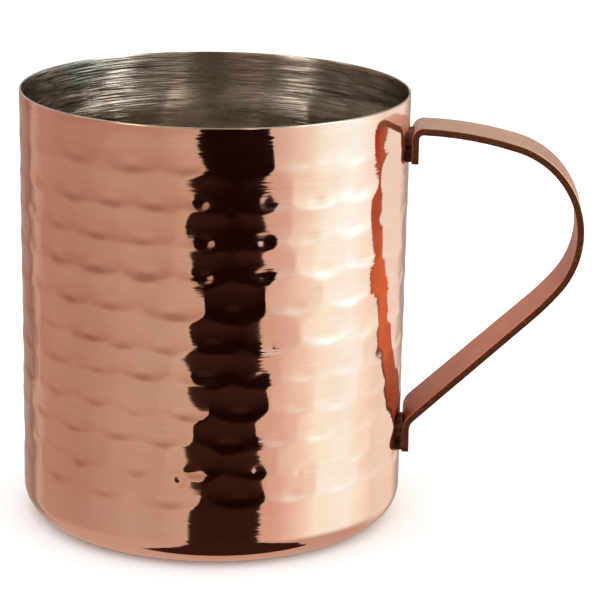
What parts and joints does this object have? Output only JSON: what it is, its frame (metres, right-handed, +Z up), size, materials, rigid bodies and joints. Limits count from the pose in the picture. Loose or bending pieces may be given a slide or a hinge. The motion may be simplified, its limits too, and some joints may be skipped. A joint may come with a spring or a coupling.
{
  "type": "drinking mug",
  "caption": "Straight-sided hammered copper-clad steel mug with a bare steel rim and a welded flat strap handle.",
  "frame": {"origin": "centre of the flat underside, on the cup's axis", "axes": "+Z up the cup's axis towards the rim, +X towards the handle"},
  "size_m": [0.119, 0.082, 0.092],
  "materials": {
    "brushed_steel": "satin",
    "polished_copper": "polished",
    "satin_copper": "satin",
    "weld_steel": "matte"
  },
  "bodies": {
    "root": {"steel_cup": "brushed_steel", "copper_skin": "polished_copper", "handle_strap": "satin_copper", "upper_weld_nuggets": "weld_steel", "lower_weld_nuggets": "weld_steel"}
  },
  "joints": []
}
